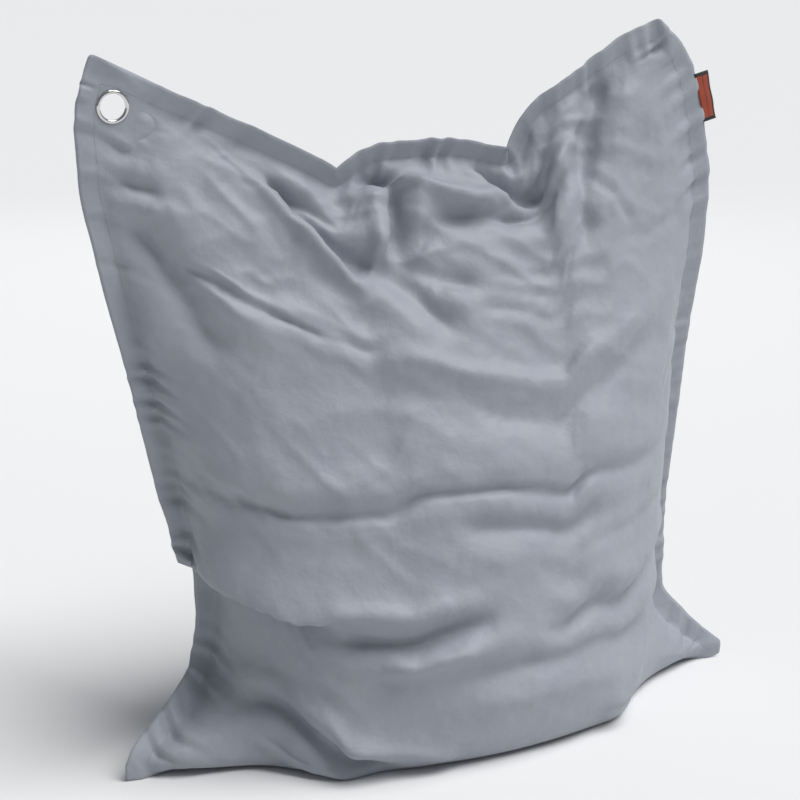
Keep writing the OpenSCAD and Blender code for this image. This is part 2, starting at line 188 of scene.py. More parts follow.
# folds of the front panel: height or depth and width in metres, and the path, whose points are
# (across, up) in shares of the panel
frontFolds = [
    (-0.030, 0.022, [(-0.14, 1.0), (-0.1, 0.965), (-0.05, 0.955)]),
    (-0.034, 0.016, [(-0.05, 0.955), (-0.08, 0.9), (-0.12, 0.83)]),
    (0.022, 0.03, [(-0.05, 0.965), (0.06, 0.925), (0.17, 0.905), (0.24, 0.93)]),
    (-0.016, 0.02, [(-0.01, 0.88), (-0.11, 0.83), (-0.02, 0.8), (0.11, 0.79)]),
    (-0.020, 0.024, [(0.0, 0.885), (0.31, 0.89), (0.6, 0.88)]),
    (-0.026, 0.02, [(0.24, 1.0), (0.3, 0.95), (0.42, 0.9)]),
    (-0.022, 0.022, [(-0.5, 0.98), (-0.33, 0.89), (-0.14, 0.81), (0.0, 0.72)]),
    (-0.012, 0.014, [(-0.47, 0.955), (-0.25, 0.91)]),
    (0.014, 0.03, [(-0.42, 0.9), (-0.3, 0.84), (-0.2, 0.8)]),
    (-0.008, 0.012, [(-0.87, 0.79), (-0.6, 0.75), (-0.18, 0.73)]),
    (-0.016, 0.014, [(-1.0, 0.85), (-0.92, 0.86), (-0.82, 0.865)]),
    (-0.020, 0.045, [(-0.96, 0.83), (-0.85, 0.76), (-0.74, 0.66)]),
    (-0.022, 0.03, [(0.8, 1.0), (0.68, 0.93), (0.55, 0.86), (0.5, 0.78)]),
    (0.014, 0.022, [(0.5, 0.93), (0.52, 0.88), (0.58, 0.8)]),
    (-0.009, 0.016, [(-1.0, 0.47), (-0.85, 0.465), (-0.51, 0.51), (-0.25, 0.545), (0.06, 0.54), (0.43, 0.515),
                      (0.86, 0.45)]),
    (0.010, 0.06, [(-0.9, 0.50), (-0.5, 0.545), (-0.1, 0.58), (0.3, 0.57), (0.8, 0.5)]),
    (-0.012, 0.022, [(-0.11, 0.5), (0.2, 0.49), (0.44, 0.46)]),
    (-0.024, 0.018, [(-0.48, 0.372), (-0.27, 0.38), (-0.17, 0.383), (0.01, 0.395)]),
    (0.012, 0.02, [(-0.5, 0.41), (-0.32, 0.415), (-0.1, 0.42)]),
    (0.014, 0.016, [(-0.34, 0.355), (-0.2, 0.36), (-0.06, 0.365)]),
    (-0.024, 0.022, [(0.9, 0.27), (0.7, 0.32), (0.36, 0.37), (0.1, 0.37)]),
    (-0.016, 0.024, [(-0.17, 0.33), (0.1, 0.335), (0.35, 0.33), (0.6, 0.29)]),
    (0.012, 0.016, [(0.67, 0.26), (0.5, 0.26), (0.35, 0.25)]),
    # the lower edge of the chest, a long bow from side to side
    (0.011, 0.034, [(-0.45, 0.75), (-0.19, 0.71), (0.12, 0.665), (0.5, 0.655), (0.8, 0.675)]),
    (-0.007, 0.03, [(-0.3, 0.69), (0.1, 0.625), (0.5, 0.61), (0.8, 0.63)]),
    (-0.024, 0.020, [(-0.89, 0.15), (-0.7, 0.2), (-0.49, 0.235), (-0.3, 0.2)]),
    (0.012, 0.018, [(-0.5, 0.262), (-0.3, 0.25), (-0.12, 0.225)]),
]
# the lip where the upper part of the front hangs over the lower
waistFold = {"path": [(-1.02, 0.330), (-0.98, 0.334), (-0.81, 0.352), (-0.67, 0.374), (-0.46, 0.402),
                      (-0.36, 0.395)], "out": 0.046, "down": 0.026}


def alongPath(u, v, path):
    # distance in metres to the path, how far along it, and which side
    px, pz = u * spread, v * rise
    pts = [(a * spread, b * rise) for a, b in path]
    steps = [math.dist(a, b) for a, b in zip(pts, pts[1:])]
    total = sum(steps)
    best = np.full(u.shape, 9.0)
    where = np.zeros(u.shape)
    side = np.zeros(u.shape)
    done = 0.0
    for (ax, az), (bx, bz), step in zip(pts, pts[1:], steps):
        dx, dz = (bx - ax) / step, (bz - az) / step
        t = np.clip((px - ax) * dx + (pz - az) * dz, 0, step)
        d = np.hypot(px - ax - t * dx, pz - az - t * dz)
        turn = (px - ax) * -dz + (pz - az) * dx
        near = d < best
        best = np.where(near, d, best)
        where = np.where(near, (done + t) / total, where)
        side = np.where(near, np.sign(turn), side)
        done += step
    return best, where, side


def addFolds(rows, folds, u, v):
    push = np.zeros(u.shape)
    for deep, w, path in folds:
        d, t, _ = alongPath(u, v, path)
        fade = ease(np.minimum(t, 1 - t) / 0.22 + 0.15)
        if deep < 0:  # a valley with a low shoulder on each side
            shape = -np.exp(-((d / w) ** 1.3)) + 0.45 * np.exp(-(((d - 1.9 * w) / (0.9 * w)) ** 2))
        else:
            shape = np.exp(-((d / w) ** 2))
        push += abs(deep) * fade * shape
    edge = ease((1 - np.abs(u)) / 0.06) * ease((1 - v) / 0.03) * ease((v - 0.1) / 0.08)
    near = np.hypot(rows[..., 0] - eyelet["x"], rows[..., 2] - eyelet["z"])
    push *= (0.25 + 0.75 * edge) * ease((near - 0.05) / 0.05)
    return rows + normalsOf(rows) * push[..., None]


def addLip(rows, fold, u, v):
    d, t, side = alongPath(u, v, fold["path"])
    fade = ease((1 - t) / 0.3)
    over = ease((d * side + 0.003) / 0.007)
    above = over * np.exp(-(((d - 0.012) / 0.045) ** 2))
    below = (1 - over) * np.exp(-((d / 0.05) ** 2))
    n = normalsOf(rows)
    seam = 0.3 + 0.7 * ease((1 - np.abs(u)) / 0.12)
    out = (fold["out"] * above - 0.5 * fold["out"] * below) * fade * seam
    shift = n * out[..., None]
    shift[..., 2] -= fold["down"] * above * fade
    # the lip runs straight: smoothed along its own slope, three cells across to one up
    smooth = sum(np.roll(shift, (k, 3 * k), (0, 1)) for k in (-1, 0, 1)) / 3
    away = ease((1 - np.abs(u)) / 0.1)[..., None]
    return rows + mix(shift, smooth, away)


def sideOut(k, v):
    e = 0.01
    line = leftLine if k < 0 else rightLine
    dx = soft(line, v + e) - soft(line, v - e)
    dz = soft(sideLine, v + e) - soft(sideLine, v - e)
    n = np.stack([k * dz, 0 * dz, -dx], -1)
    if k < 0:  # the flange's end turns up over the waist fold
        n[..., 2] += 0.9 * np.abs(dz) * np.exp(-(((v - 0.345) / 0.03) ** 2))
    return n / np.linalg.norm(n, axis=-1, keepdims=True)


def topOut(row):
    d = np.gradient(row, axis=0)
    for cells in (slice(0, 9), slice(-9, None)):  # the edge runs straight into each ear
        d[cells] = d[cells].mean(0)
    n = np.stack([-d[:, 2], 0 * d[:, 2], d[:, 0]], -1)
    return n / np.linalg.norm(n, axis=-1, keepdims=True)


def feetDown(points):
    x, y, z = points[..., 0], points[..., 1], points[..., 2]
    low = ease((0.17 - z) / 0.12)
    out = points.copy()
    for k, forward, wider, flat in zip((-1, 1), bag["footForward"], bag["footOut"], bag["footFlat"]):
        w = ease((k * x - 0.31) / 0.17) * low
        out[..., 0] += k * wider * w
        out[..., 1] -= forward * w
        beside = np.exp(-(((k * x - 0.32) / 0.13) ** 2))  # the base reaches forward beside the foot
        out[..., 1] -= 0.62 * forward * beside * low * ease((0.03 - y) / 0.06)
        flatter = ease((k * x - 0.20) / 0.12) * ease((0.10 - z) / 0.08)
        out[..., 2] -= z * np.maximum(flat * w, bag["edgeFlat"] * flatter)
    return out


def bagForm():
    # the whole cover as one net: the front with its flange, and the back inside the seam
    n, m, rim = cover["cols"], cover["rows"], cover["rim"]
    step = flange / rim
    front, share = formRows(-1)
    back, _ = formRows(1)
    u = np.tile(np.linspace(-1, 1, n + 1), (m + 1, 1))
    v = np.tile(np.linspace(0, 1, m + 1)[:, None], (1, n + 1))
    front = addFolds(front, frontFolds, u, v)
    front = addLip(front, waistFold, u, v)
    back = back.copy()
    # the back follows the zip's cylinder where the zip is
    level = 1 - ease((np.abs(back[..., 2] - zipper["z"]) - 0.046) / 0.05)
    onZip = np.where(v > 0.1, (1 - ease((np.abs(u) - 0.62) / 0.2)) * level, 0)
    arc = zipper["centreY"] + np.sqrt(np.maximum(zipper["radius"] ** 2 - back[..., 0] ** 2, 1e-6))
    back[..., 1] = mix(back[..., 1], arc, onZip)
    # under the base the flange is laid back, so the back panel runs over it
    lift = np.where(v < 0.2, 0.0044 * (1 - ease((back[..., 1] - 0.038) / 0.025)), 0)
    back[..., 2] += lift
    net = np.zeros((m + 1 + 2 * rim, n + 1 + 2 * rim, 3))
    net[rim : rim + m + 1, rim : rim + n + 1] = front
    ends = np.linspace(0, 1, m + 1)
    left, right = sideOut(-1, ends), sideOut(1, ends)
    top = topOut(front[-1])
    droop = 0.38 * ease((1 - np.abs(u[-1])) / 0.3)  # the top flange hangs a little forward
    top = top * np.cos(droop)[:, None]
    top[:, 1] -= np.sin(droop)
    s0 = share[0]
    fold = np.arccos(np.clip(ease((np.abs(s0) - 0.6) / 0.4), 0, 1))
    under = np.stack([0 * fold, np.sin(fold), -np.cos(fold)], -1)
    net[rim, rim : rim + n + 1, 2] = flange * np.cos(fold) + 0.0018 * np.sin(fold)
    for k in range(1, rim + 1):
        net[rim : rim + m + 1, rim - k] = front[:, 0] + left * step * k
        net[rim : rim + m + 1, rim + n + k] = front[:, -1] + right * step * k
        net[rim + m + k, rim : rim + n + 1] = front[-1] + top * step * k
        net[rim - k, rim : rim + n + 1] = net[rim, rim : rim + n + 1] + under * step * k
    # at an ear the two edges meet in a point
    corners = ((top[0], left[-1]), (top[-1], right[-1]))
    points = [(t + o) * (1 / (1 + t @ o) - 1) * flange for t, o in corners]
    for a in range(1, rim + 1):
        for b in range(1, rim + 1):
            c = a * b / rim**2
            up, out = step * a, step * b
            net[rim + m + a, rim - b] = front[-1, 0] + top[0] * up + left[-1] * out + points[0] * c
            net[rim + m + a, rim + n + b] = front[-1, -1] + top[-1] * up + right[-1] * out + points[1] * c
            net[rim - a, rim - b] = net[rim, rim] + under[0] * up + left[0] * out
            net[rim - a, rim + n + b] = net[rim, rim + n] + under[-1] * up + right[0] * out
    net, back = feetDown(net), feetDown(back)
    net[..., 2] = np.maximum(net[..., 2], 0.001)
    back[..., 2] = np.maximum(back[..., 2], 0.0)
    return net, back


print("form: panel", cover["wide"], "x", cover["tall"])
net, back = bagForm()


# the cover as one net of cloth, draped by a short simulation
def netIndex():
    n, m, rim = cover["cols"], cover["rows"], cover["rim"]
    tall, wide = net.shape[:2]
    frontIds = np.arange(tall * wide).reshape(tall, wide)
    backIds = frontIds[rim : rim + m + 1, rim : rim + n + 1].copy()
    inside = np.arange((m - 1) * (n - 1)).reshape(m - 1, n - 1) + tall * wide
    backIds[1:-1, 1:-1] = inside
    return frontIds, backIds


def quads(ids, flip=False):
    a, b, c, d = ids[:-1, :-1], ids[:-1, 1:], ids[1:, 1:], ids[1:, :-1]
    q = np.stack([a, d, c, b] if flip else [a, b, c, d], -1)
    return q.reshape(-1, 4)


def meshFrom(name, points, faces):
    mesh = bpy.data.meshes.new(name)
    mesh.from_pydata([tuple(p) for p in points], [], [tuple(int(i) for i in f) for f in faces])
    mesh.update()
    obj = bpy.data.objects.new(name, mesh)
    bpy.context.scene.collection.objects.link(obj)
    return obj


def flatNet():
    # where every point lies on the cut panels
    n, m, rim = cover["cols"], cover["rows"], cover["rim"]
    step = flange / rim
    before, after = step * np.arange(rim, 0, -1), step * np.arange(1, rim + 1)
    x = np.r_[-spread - before, np.linspace(-spread, spread, n + 1), spread + after]
    z = np.r_[-before, np.linspace(0, rise, m + 1), rise + after]
    flat = np.zeros(net.shape)
    flat[..., 0] = x[None, :]
    flat[..., 2] = z[:, None]
    return flat


def drape(start, frontIds, backIds):
    flat = flatNet()
    rim = cover["rim"]
    inner = flat[rim : rim + cover["rows"] + 1, rim : rim + cover["cols"] + 1]
    flatAll = np.concatenate([flat.reshape(-1, 3), inner[1:-1, 1:-1].reshape(-1, 3)])
    # a ripple in the flat shape makes the cloth beside the seam longer than the seam itself
    ripple = np.zeros(len(flatAll))
    edge = np.zeros(net.shape[:2])
    for k in range(1, rim + 1):
        edge[rim - k, :] = edge[-1 - rim + k, :] = 1
        edge[:, rim - k] = edge[:, -1 - rim + k] = 1
    parity = (np.indices(net.shape[:2]).sum(0) % 2) * 2 - 1
    ripple[: edge.size] = (edge * parity * cover["gather"]).ravel()
    flatAll[:, 1] = ripple
    faces = np.concatenate([quads(frontIds), quads(backIds, True)])
    obj = meshFrom("drape", start, faces)
    obj.shape_key_add(name="Basis", from_mix=False)
    key = obj.shape_key_add(name="flat", from_mix=False)
    key.data.foreach_set("co", flatAll.ravel())
    # how firmly the beads hold each point in place
    hold = np.full(len(start), cover["hold"])
    near = np.hypot(start[:, 0] - eyelet["x"], start[:, 2] - eyelet["z"])
    hold = np.where(near < 0.045, 1.0, hold)
    y = start[:, 1]
    onZip = (y > 0.1) & (np.abs(start[:, 2] - zipper["z"]) < 0.035) & (np.abs(start[:, 0]) < 0.33)
    hold = np.where(onZip, 1.0, hold)
    hold = np.where(start[:, 2] < 0.004, 1.0, hold)
    for tip in (net[-1, 0], net[-1, -1]):
        hold = np.where(np.linalg.norm(start - tip, axis=1) < 0.09, 1.0, hold)
    group = obj.vertex_groups.new(name="hold")
    for value in np.unique(hold.round(3)):
        ids = np.nonzero(np.abs(hold - value) < 5e-4)[0]
        group.add([int(i) for i in ids], float(value), "REPLACE")
    cloth = obj.modifiers.new("cloth", "CLOTH")
    s = cloth.settings
    s.quality = 6
    s.mass = 0.05
    s.tension_stiffness = s.compression_stiffness = 25
    s.shear_stiffness = 8
    s.bending_stiffness = cover["bend"]
    s.tension_damping = s.compression_damping = s.shear_damping = 8
    s.bending_damping = 0.5
    s.air_damping = 3
    s.vertex_group_mass = "hold"
    s.pin_stiffness = 1.0
    s.rest_shape_key = key
    s.effector_weights.gravity = cover["weight"]
    cloth.collision_settings.use_collision = False
    cloth.point_cache.frame_start = 1
    cloth.point_cache.frame_end = cover["frames"]
    scene = bpy.context.scene
    for f in range(1, cover["frames"] + 1):
        scene.frame_set(f)
    evaluated = obj.evaluated_get(bpy.context.evaluated_depsgraph_get())
    mesh = evaluated.to_mesh()
    out = np.zeros(len(mesh.vertices) * 3)
    mesh.vertices.foreach_get("co", out)
    evaluated.to_mesh_clear()
    bpy.data.objects.remove(obj)
    scene.frame_set(1)
    out = out.reshape(-1, 3)
    moved = np.linalg.norm(out - start, axis=1) * 1000
    print("drape: moved mean", round(float(moved.mean()), 1), "max", round(float(moved.max()), 1), "mm")
    return out


frontIds, backIds = netIndex()
draped = np.concatenate([net.reshape(-1, 3), back[1:-1, 1:-1].reshape(-1, 3)])
draped = drape(draped, frontIds, backIds)


# the two panels
crease = {
    "sizes": [(0.17, 0.0044, 0.5), (0.085, 0.0024, -0.6), (0.045, 0.0011, 0.9)],  # size, depth, turn
    "pucker": 0.0078,  # how deep the seam puckers, and how far apart
    "pitch": 0.0145,
}


def steadyNoise(at, pitch, seed):
    # a smooth random line through one value each pitch, from -1 to 1
    rng = np.random.default_rng(seed)
    knots = rng.uniform(-1, 1, 400)
    t = at / pitch + 200
    k = np.floor(t).astype(int)
    return mix(knots[k], knots[k + 1], ease(t - k))


def cloudNoise(x, z, size, seed):
    rng = np.random.default_rng(seed)
    grid = rng.uniform(-1, 1, (200, 200))
    a, b = x / size + 100, z / size + 100
    i, j = np.floor(a).astype(int), np.floor(b).astype(int)
    p, q = ease(a - i), ease(b - j)
    return mix(mix(grid[i, j], grid[i + 1, j], p), mix(grid[i, j + 1], grid[i + 1, j + 1], p), q)


def crumple(x, z, seed):
    # sharp crests with wide hollows between them, as in creased coated cloth
    total = 0 * x
    for size, deep, turn in crease["sizes"]:
        c, d = math.cos(turn), math.sin(turn)
        a, b = c * x + d * z, -d * x + c * z
        bend = 0.35 * size * cloudNoise(a, b, size * 0.8, seed + 5)
        total = total + deep * (0.5 - 2 * np.abs(cloudNoise(a + bend, b * 1.9, size, seed)))
        seed += 11
    return total


def puckers(x, z):
    total = 0 * x
    for k, (d, along) in enumerate(((x + spread, z), (spread - x, z), (rise - z, x), (z, x))):
        near = np.exp(-((np.maximum(d, 0) / 0.042) ** 2)) * np.where(d < 0, 1 + d / flange * 0.5, 1)
        patch = 0.25 + 0.75 * ease(0.5 + steadyNoise(along, 0.11, 40 + k))
        patch = patch + 0.55 * ease((x - 0.28) / 0.1) * ease((z - 0.95) / 0.15)  # most at the right ear
        total = total + near * patch * steadyNoise(along + 0.25 * d, crease["pitch"], 50 + k)
    return crease["pucker"] * total


def flatPlaces(mesh):
    # where each point lies on the cut panel, from its UV map
    uv = np.zeros(len(mesh.loops) * 2)
    mesh.uv_layers[0].data.foreach_get("uv", uv)
    ids = np.zeros(len(mesh.loops), dtype=int)
    mesh.loops.foreach_get("vertex_index", ids)
    flat = np.zeros((len(mesh.vertices), 2))
    flat[ids] = uv.reshape(-1, 2)
    return flat


def coords(mesh, kind="co"):
    out = np.zeros(len(mesh.vertices) * 3)
    mesh.vertices.foreach_get(kind, out)
    return out.reshape(-1, 3)


def applied(obj, *names):
    bpy.context.view_layer.objects.active = obj
    bpy.ops.object.select_all(action="DESELECT")
    obj.select_set(True)
    for name in names:
        bpy.ops.object.modifier_apply(modifier=name)
    bpy.ops.object.shade_smooth()


# creases too sharp to survive the drape
sharpFolds = [
    (0.0045, 0.008, [(-0.66, 0.985), (-0.52, 0.93), (-0.36, 0.86), (-0.22, 0.83)]),
    (0.005, 0.008, [(-0.17, 0.955), (-0.03, 0.955), (0.08, 0.915), (0.2, 0.905)]),
    (-0.006, 0.008, [(0.02, 0.885), (-0.07, 0.835)]),
    (-0.004, 0.010, [(0.02, 0.885), (0.22, 0.9), (0.5, 0.955)]),
    (0.003, 0.007, [(-0.9, 0.8), (-0.6, 0.765), (-0.2, 0.72)]),
    (0.004, 0.014, [(0.1, 0.83), (0.35, 0.815), (0.62, 0.83)]),
    (-0.003, 0.010, [(0.6, 0.78), (0.75, 0.76), (0.95, 0.76)]),
    (-0.006, 0.012, [(0.68, 0.98), (0.6, 0.88)]),
    (-0.004, 0.006, [(-0.95, 0.475), (-0.6, 0.495), (-0.2, 0.545), (0.2, 0.54), (0.6, 0.49)]),
    (-0.003, 0.010, [(-0.75, 0.4), (-0.62, 0.45)]),
    (-0.004, 0.009, [(0.2, 0.45), (0.55, 0.43), (0.85, 0.38)]),
    (0.004, 0.012, [(-0.6, 0.3), (-0.35, 0.33)]),
    (-0.008, 0.007, [(-0.85, 0.13), (-0.6, 0.19), (-0.3, 0.19)]),
    (-0.004, 0.012, [(0.3, 0.22), (0.62, 0.2)]),
    (0.0035, 0.010, [(-0.3, 0.735), (0.0, 0.68), (0.3, 0.668), (0.62, 0.66)]),
    (-0.0045, 0.010, [(0.0, 0.765), (0.24, 0.755), (0.52, 0.715)]),
    (-0.005, 0.008, [(0.57, 0.88), (0.64, 0.83), (0.7, 0.77)]),
    (0.004, 0.009, [(0.1, 0.795), (0.38, 0.79), (0.62, 0.755)]),
]


def creased(obj, side):
    mesh = obj.data
    flat = flatPlaces(mesh)
    x, z = flat[:, 0], flat[:, 1]
    p, n = coords(mesh), coords(mesh, "normal")
    inside = np.minimum(np.minimum(x + spread, spread - x), np.minimum(z, rise - z))
    body = ease((inside - 0.012) / 0.05)
    sharp = np.zeros(len(x))
    if side < 0:
        # each soft fold has a sharper, shallower bottom
        bottoms = [(0.22 * deep, 0.42 * wide, path) for deep, wide, path in frontFolds]
        for deep, w, path in bottoms + sharpFolds:
            d, t, _ = alongPath(x / spread, z / rise, path)
            fade = ease(np.minimum(t, 1 - t) / 0.3 + 0.1)
            shoulder = 0.35 * np.exp(-(((d - 2.2 * w) / w) ** 2))
            sharp += deep * fade * (np.exp(-((np.abs(d) / w) ** 1.2)) - shoulder)
    # the beads stretch the cloth smooth low down; the empty top creases most
    lower = 0.5 + 0.3 * ease((z / rise - 0.3) / 0.3) + 0.75 * ease((z / rise - 0.68) / 0.16)
    move = -side * puckers(x, z) + body * (lower * crumple(x, z, 3 if side < 0 else 90) + sharp)
    near = np.hypot(p[:, 0] - eyelet["x"], p[:, 2] - eyelet["z"])
    move *= ease((near - 0.032) / 0.03) * ease((p[:, 2] - 0.004) / 0.03)
    onZip = (p[:, 1] > 0.1) & (np.abs(p[:, 0]) < 0.34)
    move = np.where(onZip, move * ease((np.abs(p[:, 2] - zipper["z"]) - 0.03) / 0.04), move)
    p = p + n * move[:, None]
    p[:, 2] = np.maximum(p[:, 2], 0.0)
    mesh.vertices.foreach_set("co", p.ravel())
    mesh.update()


def opened(obj, side):
    # the hole for the eyelet, and on the back the slit for the zip
    bm = bmesh.new()
    bm.from_mesh(obj.data)
    centre = Vector((eyelet["x"], 0, eyelet["z"]))
    cut = []
    for f in bm.faces:
        c = f.calc_center_median()
        hole = math.hypot(c.x - centre.x, c.z - centre.z) < 0.0225 and abs(c.y) < 0.02
        slit = side > 0 and c.y > 0.1 and abs(c.x) < 0.290 and abs(c.z - zipper["z"]) < 0.0095
        if hole or slit:
            cut.append(f)
    bmesh.ops.delete(bm, geom=cut, context="FACES")
    for v in bm.verts:
        if not v.is_boundary:
            continue
        r = math.hypot(v.co.x - centre.x, v.co.z - centre.z)
        if r < 0.04 and abs(v.co.y) < 0.02:
            k = eyelet["cut"] / r
            v.co.x = centre.x + (v.co.x - centre.x) * k
            v.co.z = centre.z + (v.co.z - centre.z) * k
            continue
        up = v.co.z - zipper["z"]
        if side > 0 and v.co.y > 0.1 and abs(up) < 0.017 and abs(v.co.x) < zipper["slitEnd"]:
            v.co.z = zipper["z"] + math.copysign(zipper["slit"], up)
    bmesh.ops.delete(bm, geom=[v for v in bm.verts if not v.link_faces], context="VERTS")
    bm.to_mesh(obj.data)
    bm.free()


def sheetPiece(name, ids, flip, outward):
    points = draped[ids.ravel()].reshape(ids.shape + (3,))
    n = normalsOf(points) * (-1 if flip else 1)
    points = points + n * outward
    used = np.arange(ids.size).reshape(ids.shape)
    obj = meshFrom(name, points.reshape(-1, 3), quads(used, flip))
    flat = flatNet().reshape(-1, 3)
    layer = obj.data.uv_layers.new(name="flat")
    loops = np.zeros(len(obj.data.loops), dtype=int)
    obj.data.loops.foreach_get("vertex_index", loops)
    layer.data.foreach_set("uv", flat[loops][:, [0, 2]].ravel())
    return obj


def layered(ids):
    # the back panel with its own copy of the flange
    rim = cover["rim"]
    full = frontIds.copy()
    full[rim : rim + cover["rows"] + 1, rim : rim + cover["cols"] + 1] = ids
    return full


frontPanel = sheetPiece("front_cover", frontIds, False, 0.0008)
backPanel = sheetPiece("back_cover", layered(backIds), True, 0.0008)
for obj, side in ((frontPanel, -1), (backPanel, 1)):
    sub = obj.modifiers.new("smooth", "SUBSURF")
    sub.levels = sub.render_levels = 1
    applied(obj, "smooth")
    creased(obj, side)
    opened(obj, side)
    thick = obj.modifiers.new("thick", "SOLIDIFY")
    thick.thickness = cover["cloth"]
    thick.offset = -1
    applied(obj, "thick")
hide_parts("front_panel")
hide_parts("back_panel")
for obj in (frontPanel, backPanel):
    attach(obj, "cushion")
print("panels done", len(frontPanel.data.polygons), "faces each")

# the beads, as one heap that stays clear of the cover's deepest folds
beads = {"cols": 40, "rows": 44, "inside": 0.050, "low": 0.06, "high": 0.84}
leftReach = [(0, 0.70), (0.15, 0.78), (0.25, 0.88), (0.5, 0.93), (0.75, 0.86), (0.88, 0.66), (1, 0.5)]
rightReach = [(0, 0.74), (0.15, 0.82), (0.25, 0.9), (0.5, 0.93), (0.8, 0.84), (1, 0.66)]


def heapSide(side):
    n, m = beads["cols"], beads["rows"]
    v = np.linspace(beads["low"], beads["high"], m + 1)[:, None] * np.ones((1, n + 1))
    a = np.sin(np.linspace(-np.pi / 2, np.pi / 2, n + 1))[None, :] * np.ones((m + 1, 1))
    reach = mix(soft(leftReach, v), soft(rightReach, v), ease((a + 1) / 2))
    rows = np.stack(formPoint(a * reach, v, side), -1)
    deep = beads["inside"] * ease((1.06 - v) / 0.3) * (0.45 + 0.55 * ease((v - 0.05) / 0.15))
    return feetDown(rows - normalsOf(rows) * (-side) * deep[..., None])


def heapPiece():
    front, rear = heapSide(-1), heapSide(1)
    ids = np.arange(front[..., 0].size).reshape(front.shape[:2])
    far = ids + ids.size
    ring = np.concatenate([ids[0, :-1], ids[:-1, -1], ids[-1, :0:-1], ids[:0:-1, 0]])
    nextOne = np.roll(ring, -1)
    rim = np.stack([nextOne, ring, ring + ids.size, nextOne + ids.size], -1)
    points = np.concatenate([front.reshape(-1, 3), rear.reshape(-1, 3)])
    points[:, 2] = np.maximum(points[:, 2], 0.006)
    obj = meshFrom("bead_heap", points, np.concatenate([quads(ids), quads(far, True), rim]))
    bpy.context.view_layer.objects.active = obj
    bpy.ops.object.select_all(action="DESELECT")
    obj.select_set(True)
    bpy.ops.object.shade_smooth()
    return obj


beadHeap = heapPiece()
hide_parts("bead_fill")
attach(beadHeap, "cushion")


def ride(obj, node):
    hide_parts(node)
    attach(obj, "cushion")
    return obj


# eyelet: a pressed ring with a rolled rim, and its washer behind
def turned(name, profile, steps=96):
    # profile: radius and how far behind the cloth's plane, in millimetres
    bpy.ops.mesh.primitive_circle_add(vertices=len(profile), radius=0.01, location=(0, 0, 0))
    obj = bpy.context.object
    obj.name = name
    for v, (r, y) in zip(obj.data.vertices, profile):
        v.co = (eyelet["x"] + r / 1000, y / 1000, eyelet["z"])
    bpy.ops.object.mode_set(mode="EDIT")
    bpy.ops.mesh.select_all(action="SELECT")
    bpy.ops.mesh.spin(steps=steps, angle=2 * math.pi, center=(eyelet["x"], 0, eyelet["z"]), axis=(0, 1, 0))
    bpy.ops.mesh.select_all(action="SELECT")
    bpy.ops.mesh.remove_doubles(threshold=0.00002)
    bpy.ops.mesh.normals_make_consistent(inside=False)
    bpy.ops.object.mode_set(mode="OBJECT")
    bpy.ops.object.shade_smooth()
    return obj


ringProfile = [
    (20.0, 2.2), (20.0, -1.6), (20.2, -2.5), (20.9, -3.2), (22.0, -3.55), (23.4, -3.5), (24.8, -3.0),
    (25.7, -2.2), (25.9, -1.4), (25.6, -1.2), (25.0, -1.5), (23.6, -2.3), (22.2, -2.4), (21.4, -2.0),
    (21.2, -1.2), (21.2, 2.4), (21.5, 2.75), (22.2, 2.85), (22.9, 2.6), (23.2, 2.7), (22.9, 3.3),
    (22.0, 3.6), (21.0, 3.5), (20.3, 3.0),
]
washerProfile = [
    (21.6, 1.9), (25.4, 1.15), (25.9, 1.3), (25.8, 1.7), (25.0, 2.1), (23.4, 2.45), (21.9, 2.55), (21.6, 2.3),
]
ringPiece = ride(turned("eyelet_ring", ringProfile), "eyelet_barrel")
washerPiece = ride(turned("eyelet_back", washerProfile), "eyelet_washer")


# stitches along the seam, and the label caught in the right edge
def seamPath(ids):
    # up the left side, along the top, down the right side, a little outside the seam
    rim, n, m = cover["rim"], cover["cols"], cover["rows"]
    p = draped[ids]
    k = sewing["outside"] / (flange / rim)
    left = mix(p[rim + 4 : rim + m + 1, rim], p[rim + 4 : rim + m + 1, rim - 1], k)
    top = mix(p[rim + m, rim : rim + n + 1], p[rim + m + 1, rim : rim + n + 1], k)
    right = mix(p[rim + m : rim + 3 : -1, rim + n], p[rim + m : rim + 3 : -1, rim + n + 1], k)
    return np.concatenate([left, top[1:-1], right])


def capsule(length, radius):
    # one stitch: six rings of six points, and a cap at each end
    rings = [(-0.5, 0.25), (-0.42, 0.8), (-0.25, 1), (0.25, 1), (0.42, 0.8), (0.5, 0.25)]
    a = np.arange(6) * math.pi / 3
    ring = radius * np.stack([0 * a, np.cos(a), np.sin(a)], 1)
    pts = np.concatenate([w * ring + [k * length, 0, 0] for k, w in rings])
    faces = []
    for r in range(0, 30, 6):
        faces += [(r + i, r + (i + 1) % 6, r + 6 + (i + 1) % 6, r + 6 + i) for i in range(6)]
    return pts, faces + [tuple(range(5, -1, -1)), tuple(range(30, 36))]


